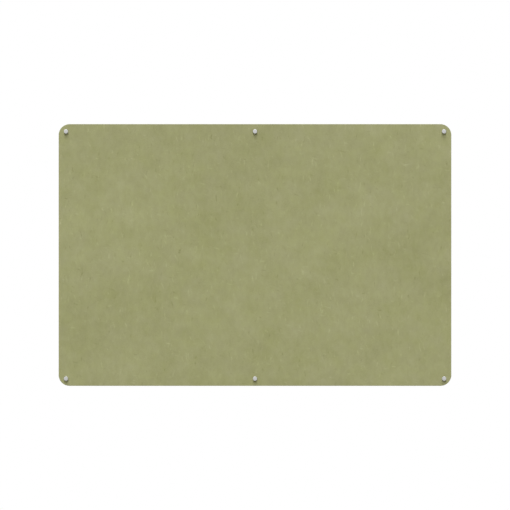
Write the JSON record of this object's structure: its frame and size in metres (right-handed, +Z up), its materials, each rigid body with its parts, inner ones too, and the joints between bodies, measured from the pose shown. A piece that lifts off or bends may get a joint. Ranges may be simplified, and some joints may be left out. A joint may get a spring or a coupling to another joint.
{
  "type": "pinboard",
  "caption": "Flat rectangular felt-faced pinboard with rounded corners, held off the wall by small round metal fixings along its top and bottom edges.",
  "frame": {"origin": "on the wall's surface, straight behind the middle of the board", "axes": "+X to the right as the board is read, +Y into the wall, +Z up; the felt faces -Y"},
  "size_m": [0.9, 0.0699, 0.6],
  "materials": {
    "felt": "matte",
    "softboard": "matte",
    "liner": "matte",
    "satin_metal": "satin",
    "zinc_steel": "satin",
    "clear_nylon": "satin",
    "grey_nylon": "matte"
  },
  "bodies": {
    "board": {"felt_facing": "felt", "softboard_core": "softboard", "backing_liner": "liner", "rear_washer_top_left": "clear_nylon", "rear_washer_top_middle": "clear_nylon", "rear_washer_top_right": "clear_nylon", "rear_washer_bottom_left": "clear_nylon", "rear_washer_bottom_middle": "clear_nylon", "rear_washer_bottom_right": "clear_nylon", "spacer_top_left": "satin_metal", "spacer_top_middle": "satin_metal", "spacer_top_right": "satin_metal", "spacer_bottom_left": "satin_metal", "spacer_bottom_middle": "satin_metal", "spacer_bottom_right": "satin_metal", "hanger_bolt_top_left": "zinc_steel", "hanger_bolt_top_middle": "zinc_steel", "hanger_bolt_top_right": "zinc_steel", "hanger_bolt_bottom_left": "zinc_steel", "hanger_bolt_bottom_middle": "zinc_steel", "hanger_bolt_bottom_right": "zinc_steel", "wall_plug_top_left": "grey_nylon", "wall_plug_top_middle": "grey_nylon", "wall_plug_top_right": "grey_nylon", "wall_plug_bottom_left": "grey_nylon", "wall_plug_bottom_middle": "grey_nylon", "wall_plug_bottom_right": "grey_nylon"},
    "washer_top_left": {"front_washer_top_left": "clear_nylon"},
    "washer_top_middle": {"front_washer_top_middle": "clear_nylon"},
    "washer_top_right": {"front_washer_top_right": "clear_nylon"},
    "washer_bottom_left": {"front_washer_bottom_left": "clear_nylon"},
    "washer_bottom_middle": {"front_washer_bottom_middle": "clear_nylon"},
    "washer_bottom_right": {"front_washer_bottom_right": "clear_nylon"},
    "cap_top_left": {"cap_top_left": "satin_metal"},
    "cap_top_middle": {"cap_top_middle": "satin_metal"},
    "cap_top_right": {"cap_top_right": "satin_metal"},
    "cap_bottom_left": {"cap_bottom_left": "satin_metal"},
    "cap_bottom_middle": {"cap_bottom_middle": "satin_metal"},
    "cap_bottom_right": {"cap_bottom_right": "satin_metal"}
  },
  "joints": [
    {"name": "turn_top_left", "type": "hinge", "parent": "board", "child": "washer_top_left", "pos_m": [-0.433, -0.0264, 0.283], "axis": [0, -1, 0], "range_deg": [0, 1800]},
    {"name": "travel_top_left", "type": "slide", "parent": "washer_top_left", "child": "cap_top_left", "axis": [0, -1, 0], "range_m": [0, 0.004]},
    {"name": "turn_top_middle", "type": "hinge", "parent": "board", "child": "washer_top_middle", "pos_m": [0, -0.0264, 0.283], "axis": [0, -1, 0], "range_deg": [0, 1800]},
    {"name": "travel_top_middle", "type": "slide", "parent": "washer_top_middle", "child": "cap_top_middle", "axis": [0, -1, 0], "range_m": [0, 0.004]},
    {"name": "turn_top_right", "type": "hinge", "parent": "board", "child": "washer_top_right", "pos_m": [0.433, -0.0264, 0.283], "axis": [0, -1, 0], "range_deg": [0, 1800]},
    {"name": "travel_top_right", "type": "slide", "parent": "washer_top_right", "child": "cap_top_right", "axis": [0, -1, 0], "range_m": [0, 0.004]},
    {"name": "turn_bottom_left", "type": "hinge", "parent": "board", "child": "washer_bottom_left", "pos_m": [-0.433, -0.0264, -0.283], "axis": [0, -1, 0], "range_deg": [0, 1800]},
    {"name": "travel_bottom_left", "type": "slide", "parent": "washer_bottom_left", "child": "cap_bottom_left", "axis": [0, -1, 0], "range_m": [0, 0.004]},
    {"name": "turn_bottom_middle", "type": "hinge", "parent": "board", "child": "washer_bottom_middle", "pos_m": [0, -0.0264, -0.283], "axis": [0, -1, 0], "range_deg": [0, 1800]},
    {"name": "travel_bottom_middle", "type": "slide", "parent": "washer_bottom_middle", "child": "cap_bottom_middle", "axis": [0, -1, 0], "range_m": [0, 0.004]},
    {"name": "turn_bottom_right", "type": "hinge", "parent": "board", "child": "washer_bottom_right", "pos_m": [0.433, -0.0264, -0.283], "axis": [0, -1, 0], "range_deg": [0, 1800]},
    {"name": "travel_bottom_right", "type": "slide", "parent": "washer_bottom_right", "child": "cap_bottom_right", "axis": [0, -1, 0], "range_m": [0, 0.004]}
  ],
  "couplings": [
    {"joint": "turn_top_left", "follows": "travel_top_left", "rad_per_m": 7854},
    {"joint": "turn_top_middle", "follows": "travel_top_middle", "rad_per_m": 7854},
    {"joint": "turn_top_right", "follows": "travel_top_right", "rad_per_m": 7854},
    {"joint": "turn_bottom_left", "follows": "travel_bottom_left", "rad_per_m": 7854},
    {"joint": "turn_bottom_middle", "follows": "travel_bottom_middle", "rad_per_m": 7854},
    {"joint": "turn_bottom_right", "follows": "travel_bottom_right", "rad_per_m": 7854}
  ]
}
